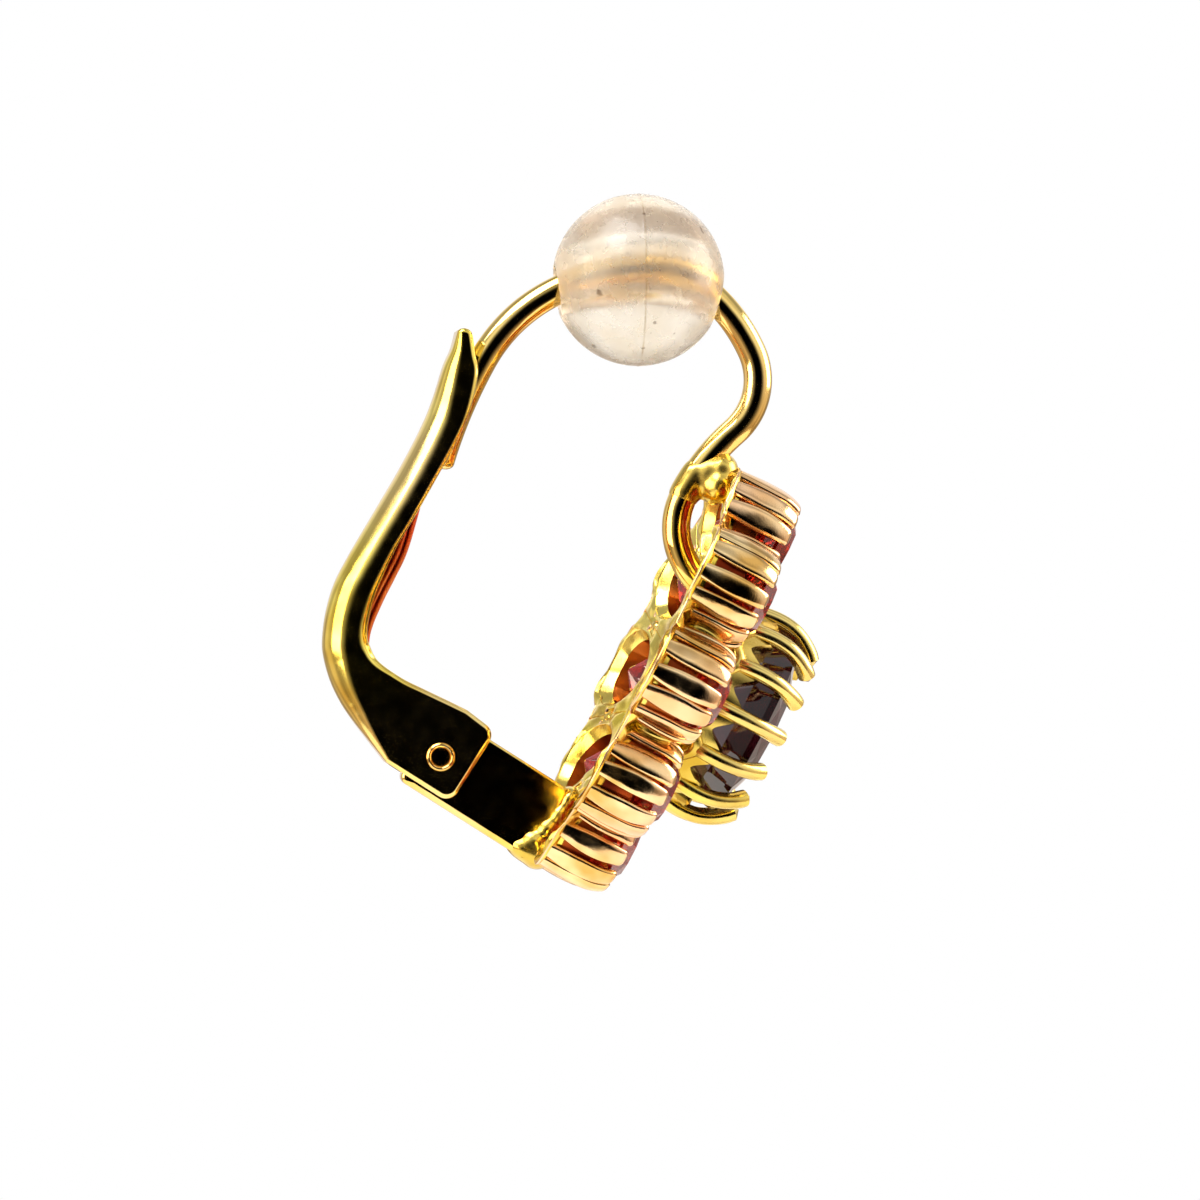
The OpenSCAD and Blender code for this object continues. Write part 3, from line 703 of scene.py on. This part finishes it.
def lever_outline():
    """The lever's closed side outline, with the reach and drop of its edge's rounding, broad on the back."""
    back = smooth_line(BACK, 12)
    inside = smooth_line(INSIDE, 12)[::-1]
    top, low, end, corner = 1.8, -1.18, 1.16, 0.46

    def rounded_corner(middle, start):
        angles = start + np.linspace(0, math.pi / 2, 10)
        return [arm(end - corner + corner * math.cos(t), middle + corner * math.sin(t)) for t in angles]

    heel = [arm(-0.2 * TONGUE_W, low)]
    corners = rounded_corner(low + corner, -math.pi / 2) + rounded_corner(top - corner, 0.0)
    tip = [[-6.17, -2.16], [-6.27, -2.06], [-6.41, -2.02], [-6.55, -2.04]]
    outline = np.vstack([back, heel, corners, inside, tip])
    reach = np.full(len(outline), 0.18)
    drop = reach.copy()
    side = slice(len(back) + len(heel) + len(corners), len(outline) - len(tip))
    reach[side] = np.interp(np.linspace(0, 1, len(inside)), *INSIDE_REACH)
    drop[side] = np.minimum(reach[side], 0.34)
    s = np.linspace(0, 1, len(back))
    reach[:len(back)] = np.interp(s, *BACK_REACH)
    drop[:len(back)] = np.interp(s, *BACK_DROP)
    keep = np.linalg.norm(np.roll(outline, -1, 0) - outline, axis=1) > 0.012
    return outline[keep], reach[keep], drop[keep]


def channel_cutter():
    """The cutter for the channel, which leaves a wall along the back line and is open to the lever's inside."""
    u = unit(INSIDE - BACK)
    floor = smooth_line((BACK + 0.35 * u)[1:], 8)
    beyond = smooth_line((INSIDE + 0.7 * u)[1:], 4)[::-1]
    outline = np.vstack([floor, [arm(3, -0.6 * TONGUE_W), arm(3, TONGUE_W)], beyond])
    return prism(outline, CHANNEL_HALF)


def prism(outline, half):
    """A plain plate about y = 0 with the closed outline (x, z)."""
    n = len(outline)
    sides = [np.stack([outline[:, 0], np.full(n, y), outline[:, 1]], 1) for y in (-half, half)]
    return capped(np.vstack(sides), 2, n)


def pivot_disc(radius, half):
    """A round plate about the pivot."""
    a = around(64)
    return prism(PIVOT + radius * np.stack([np.cos(a), np.sin(a)], 1), half)


def tongue():
    """The tongue's plate, with its two free corners rounded and its lower edge rounder than the upper one."""
    end, heel, h, c = 4.5, -0.8, TONGUE_W / 2, 0.3
    q = np.linspace(0, math.pi / 2, 8)
    corners = [arm(heel + c - c * math.sin(t), -h + c - c * math.cos(t)) for t in q]
    corners += [arm(heel + c - c * math.cos(t), h - c + c * math.sin(t)) for t in q]
    shares = np.linspace(0.05, 1, 20)
    top = [arm(heel + c + (end - heel - c) * s, h) for s in shares]
    bottom = [arm(heel + c + (end - heel - c) * s, -h) for s in shares[::-1]]
    reach = np.array([0.16] * len(corners) + [0.1] * len(top) + [0.24] * len(bottom))
    return bevelled(np.array(corners + top + bottom), TONGUE_HALF, reach)


# The leaf spring's middle line (x, z) from its upper end
SPRING = np.array([
    [-8.098, -7.786], [-8.264, -8.428], [-8.641, -9.692], [-9.044, -10.542], [-9.438, -11.315],
    [-9.838, -12.244], [-9.975, -12.899], [-9.953, -13.714], [-9.613, -14.682], [-9.194, -15.632]])


def leaf_spring():
    """Three thin leaves laid on one another along the spring's line. Their edges show as fine lines."""
    points, u, v = in_plane(smooth_line(SPRING, 10))
    leaves = []
    for offset in (-0.2, 0.0, 0.2):
        half = np.array([0.103, 0.62 - 0.04 * abs(offset)])
        leaves.append(swept(points, u, v, ring_section(24, 2.6) * half + np.array([offset, 0])))
    return leaves


def rivet():
    """A tubular rivet turned round the pivot's axis: a shank with a rolled rim and a deep hole at each end."""
    half = LEVER_HALF
    side = [(0.02, half - 0.75), (0.28, half - 0.7), (0.31, half - 0.2), (0.325, half), (0.35, half + 0.05),
            (0.39, half + 0.085), (0.435, half + 0.085), (0.475, half + 0.05), (0.49, half), (0.44, half - 0.03)]
    profile = np.array([(r, -y) for r, y in side] + [(r, y) for r, y in side[::-1]])
    verts, faces = revolved(profile, 64, False)
    return np.stack([PIVOT[0] + verts[:, 0], verts[:, 2], PIVOT[1] + verts[:, 1]], 1), faces


def bead_ball():
    """A ball turned round an axis along the wire, with a thin mould seam round its middle."""
    a = np.linspace(0.02, math.pi - 0.02, 181)
    r = BEAD_R + 0.016 * np.exp(-((a - math.pi / 2) / 0.014) ** 2)
    verts, faces = revolved(np.stack([r * np.sin(a), r * np.cos(a)], 1), 144, False)
    return outward(np.stack([BEAD_AT[0] + verts[:, 2], verts[:, 1], BEAD_AT[1] + verts[:, 0]], 1), faces)


def bead_hole():
    """The cutter for the bead's hole, which follows the bent wire."""
    line = np.vstack([REAR[44::-1, :2], FRONT[1:48, :2]])
    return plane_tube(line, BEAD_HOLE, 48)


ribs = [[prong(k, c) for k in range(PRONGS)] + [rim_line()] for c in range(COLLETS)]
backs = [[back_cell(), bore_ring(1.49, 1.3, 0.02, 0.42, False)]] * COLLETS
bores = [[bore_ring(1.34, 1.3, 0.36, 1.5, True)]] * COLLETS
claws = [from_cluster(moved(claw(), 2 * math.pi / CLAWS * (k + 0.5))) for k in range(CLAWS)]
seat = [from_cluster(part) for part in (gallery(), claw_web(), cup())]
make_piece("ear_wire_round", [ear_wire()], GOLD, "root", "gold", "setting")
# The ribs' and rim lines' pinkish peach cast is painted reflection of warm light over the gold's own pale colour
make_piece("collet_ribs", round_the_ring(ribs), COLLET_GOLD_WITH_PAINTED_PEACH_SHEEN, "root", "gold", "setting")
make_piece("collet_backs", round_the_ring(backs), BACK_GOLD, "root", "gold", "setting")
# The bores' dark red colour is painted shade and painted red reflection of the stones
make_piece("collet_bores", round_the_ring(bores), BORE_GOLD_PAINTED_RED_SHADE, "root", "gold", "setting")
make_piece("claws", claws, CLAW_GOLD, "root", "gold", "setting")
make_piece("gallery_ring", seat, SOLDER, "root", "gold", "setting")
make_piece("solder_joints", solder_parts(), SOLDER, "root", "gold", "setting")
for name, parts in (("wire_solder", wire_joint_parts()), ("tongue_solder", tongue_joint_parts())):
    melt(make_piece(name, parts, SOLDER, "root", "gold", "setting"), 0.05, 30)
make_piece("hinge_tongue_plate", [tongue()], GOLD, "root", "gold", "hinge_tongue")

centre = brilliant(CENTRE_STONE_D, crown=0.64, pavilion=2.18, belly=0.93)
make_piece("centre_garnet", [from_cluster(moved(centre, offset=(0, 0, CENTRE_GIRDLE_Z)))],
           GARNET_DARK, "root", "garnet_dark", "centre_stone", flat=True)
for k in range(COLLETS):
    stone = brilliant(RING_STONE_D, crown=0.55, pavilion=1.74, belly=0.8, spin=0.7 * k)
    stone = moved(moved(stone, offset=(RING_R, 0, RING_GIRDLE_Z)), 2 * math.pi / COLLETS * (k + 0.5))
    make_piece(f"ring_garnet_{k + 1:02d}", [from_cluster(stone)],
               GARNET_RED, "root", "garnet_red", f"outer_stone_{k + 1:02d}", flat=True)

outline, reach, drop = lever_outline()
plate = bevelled(outline, LEVER_HALF, reach, drop)
lever = make_piece("lever_channel", [plate], LEVER_GOLD, "lever", "gold", "lever")
cut_with(lever, [channel_cutter(), pivot_disc(1.77, CHANNEL_HALF), pivot_disc(0.45, 2.0)])
make_piece("leaf_spring_strip", leaf_spring(), SPRING_GOLD, "lever", "spring_gold", "leaf_spring")
make_piece("rolled_rivet", [rivet()], GOLD, "lever", "gold", "pivot_rivet")
bead = make_piece("bead_ball", [bead_ball()], PLASTIC, "root", "clear_plastic", "clear_bead")
cut_with(bead, [bead_hole()])


# Floor, light and camera

def floor_material():
    """Pale matt card with a faint mottle."""
    material, tree, mm = new_material("pale_card")
    mottle = spread(tree, noise(tree, mm, 0.2, 3.0), 0.0, 1.0)
    tint = mixed(tree, mottle, hex_linear("#E6E3DE"), hex_linear("#DEDBD6"))
    finish_material(tree, {"Base Color": tint, "Roughness": 0.8})
    return material


def make_floor():
    """A round card under the earring, which falls away a little towards its edge."""
    steps = 96
    radii = np.array([1.0, 30.0, 50.0])[:, None]
    verts = polar(radii, around(steps), FLOOR_Z - 0.02 * radii).reshape(-1, 3) * MM
    mesh = bpy.data.meshes.new("floor")
    mesh.from_pydata(verts.tolist(), [], grid_faces(len(radii), steps).tolist() + [list(range(steps))])
    mesh.materials.append(floor_material())
    floor = bpy.data.objects.new("floor", mesh)
    bpy.context.scene.collection.objects.link(floor)


def make_world():
    """A white tent: bright all round, with a dark opening on the camera's side that polished flats mirror."""
    world = bpy.data.worlds.new("tent")
    bpy.context.scene.world = world
    world.use_nodes = True
    tree = world.node_tree
    tree.nodes.clear()
    way = add_node(tree, "ShaderNodeTexCoord").outputs["Generated"]
    opening = {0: way, 1: (0.05, -0.985, -0.14)}
    near = add_node(tree, "ShaderNodeVectorMath", {"operation": "DOT_PRODUCT"}, opening).outputs["Value"]
    dark = eased(tree, near, 1.0, 0.0, 0.62, 0.93)
    panels = eased(tree, noise(tree, way, 1.5, 1.0), 0.45, 1.12, 0.36, 0.64)
    height = add_node(tree, "ShaderNodeSeparateXYZ", None, {0: way}).outputs["Z"]
    tint = mixed(tree, spread(tree, height, 0.0, 1.0, -0.7, 0.3), hex_linear("#DDB088"), hex_linear("#FFFFFF"))
    power = calculated(tree, "MULTIPLY", panels, dark)
    tent = add_node(tree, "ShaderNodeBackground", None, {"Color": tint, "Strength": power})
    plain = add_node(tree, "ShaderNodeBackground", None, {"Color": (1, 1, 1, 1), "Strength": 1.0})
    seen = add_node(tree, "ShaderNodeLightPath").outputs["Is Camera Ray"]
    both = add_node(tree, "ShaderNodeMixShader", None, {0: seen, 1: tent.outputs[0], 2: plain.outputs[0]})
    add_node(tree, "ShaderNodeOutputWorld", None, {"Surface": both.outputs[0]})


def soft_light(name, place, size, power, tint):
    """A square area light of that size in millimetres, aimed at the middle of the earring."""
    data = bpy.data.lights.new(name, "AREA")
    data.size, data.energy, data.color = size * MM, power, hex_linear(tint)[:3]
    obj = bpy.data.objects.new(name, data)
    obj.location = [c * MM for c in place]
    obj.rotation_euler = look(np.array([-1.6, 0.0, -11.4]) - np.array(place, float))
    bpy.context.scene.collection.objects.link(obj)


def look(aim):
    """Euler angles that turn an object's -Z along the aim, with its Y upwards."""
    x, y, z = aim
    return (math.atan2(math.hypot(x, y), -z), 0.0, math.atan2(-x, y))


def make_camera():
    """The photograph's view: level, far off, and five degrees behind square on."""
    target = np.array([-1.62, 0.0, -11.44])
    turn = math.radians(5)
    place = target + 240 * np.array([-math.sin(turn), -math.cos(turn), 0.0])
    data = bpy.data.cameras.new("photo_camera")
    data.lens, data.sensor_width = 206.7, 36.0
    data.clip_start, data.clip_end = 0.01, 10.0
    camera = bpy.data.objects.new("photo_camera", data)
    camera.location = place * MM
    camera.rotation_euler = look(target - place)
    bpy.context.scene.collection.objects.link(camera)
    bpy.context.scene.camera = camera


make_floor()
make_world()
soft_light("top_light", (-60, -40, 120), 100, 0.3, "#FFFFFF")
soft_light("left_light", (-140, -60, 15), 110, 0.24, "#FFF6E0")
soft_light("side_light", (130, 10, 30), 90, 0.2, "#FFF0E0")
make_camera()
bpy.context.scene.view_settings.view_transform = "Standard"
